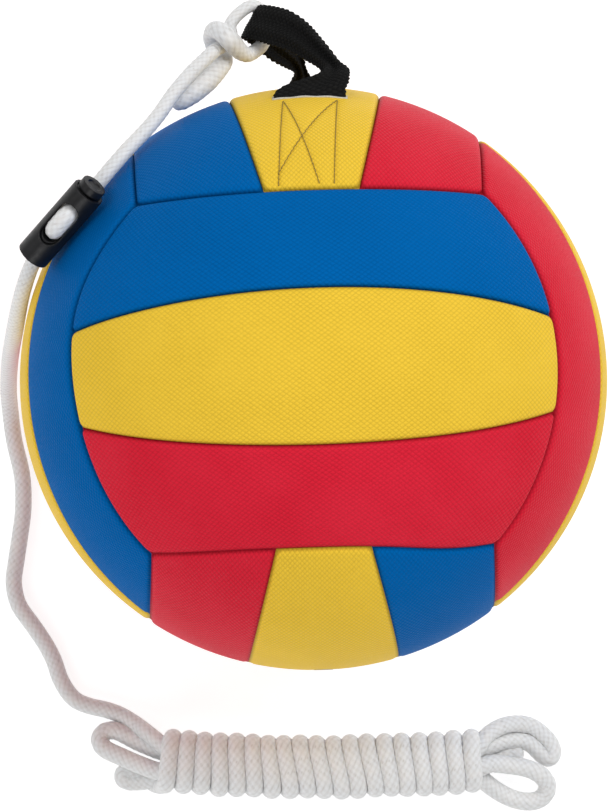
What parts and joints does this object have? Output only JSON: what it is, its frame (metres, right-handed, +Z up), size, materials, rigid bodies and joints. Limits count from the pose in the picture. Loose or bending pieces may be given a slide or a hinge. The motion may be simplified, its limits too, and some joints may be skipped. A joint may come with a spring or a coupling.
{
  "type": "tetherball set",
  "caption": "Soft panelled ball with a sewn webbing loop, tied to a braided rope that carries a spring cord lock and is stored in a wrapped hank.",
  "frame": {"origin": "the point where the ball rests on the floor, straight below the ball's centre", "axes": "+Y from the ball's centre to the strap loop, +Z up, +X to the right seen from above"},
  "size_m": [0.2211, 0.2987, 0.21],
  "materials": {
    "cover_blue": "soft sheen, fine embossed grain",
    "cover_yellow": "soft sheen, fine embossed grain",
    "cover_red": "soft sheen, fine embossed grain",
    "foam": "matte closed-cell foam",
    "lining": "plain woven cloth",
    "bladder_rubber": "matte butyl rubber",
    "valve_rubber": "matte rubber",
    "webbing": "woven nylon webbing",
    "patch": "plain woven cloth",
    "thread": "twisted polyester thread",
    "rope": "diamond-braided synthetic rope",
    "lock_plastic": "satin moulded plastic",
    "spring_steel": "bright drawn wire"
  },
  "bodies": {
    "ball": {"panel_front_upper": "cover_blue", "panel_front_centre": "cover_yellow", "panel_front_lower": "cover_red", "panel_back_upper": "cover_red", "panel_back_centre": "cover_yellow", "panel_back_lower": "cover_blue", "panel_crown_left": "cover_blue", "panel_crown_centre": "cover_yellow", "panel_crown_right": "cover_red", "panel_base_left": "cover_red", "panel_base_centre": "cover_yellow", "panel_base_right": "cover_blue", "panel_left_front": "cover_blue", "panel_left_centre": "cover_yellow", "panel_left_back": "cover_red", "panel_right_front": "cover_red", "panel_right_centre": "cover_yellow", "panel_right_back": "cover_blue", "foam_front": "foam", "foam_back": "foam", "foam_crown": "foam", "foam_base": "foam", "foam_left": "foam", "foam_right": "foam", "fabric_lining": "lining", "bladder": "bladder_rubber", "valve_pocket": "valve_rubber", "valve_insert": "valve_rubber", "strap_tail_front": "webbing", "strap_tail_back": "webbing", "strap_patches": "patch", "strap_stitches_front": "thread", "strap_stitches_back": "thread", "rope_upper_run": "rope", "rope_lower_run": "rope", "hank_wraps": "rope", "hank_core": "rope", "hank_loops_left": "rope", "hank_loops_right": "rope"},
    "strap": {"strap_loop": "webbing", "rope_knot": "rope"},
    "cord_lock": {"lock_barrel": "lock_plastic", "lock_spring": "spring_steel", "rope_bight": "rope"},
    "plunger": {"lock_plunger": "lock_plastic"}
  },
  "joints": [
    {"name": "strap_swing", "type": "hinge", "parent": "ball", "child": "strap", "pos_m": [0.0155, 0.0985, 0.105], "axis": [0, 0, 1], "range_deg": [-10, 0], "stiffness_Nm_per_rad": 0.05, "deforming": ["rope_upper_run"]},
    {"name": "lock_slide", "type": "slide", "parent": "ball", "child": "cord_lock", "axis": [0.6328, 0.6328, 0.4462], "range_m": [0, 0.01]},
    {"name": "plunger_press", "type": "slide", "parent": "cord_lock", "child": "plunger", "axis": [-0.6328, -0.6328, -0.4462], "range_m": [0, 0.003], "stiffness_N_per_m": 600, "springref_m": -0.004, "deforming": ["lock_spring"]}
  ]
}
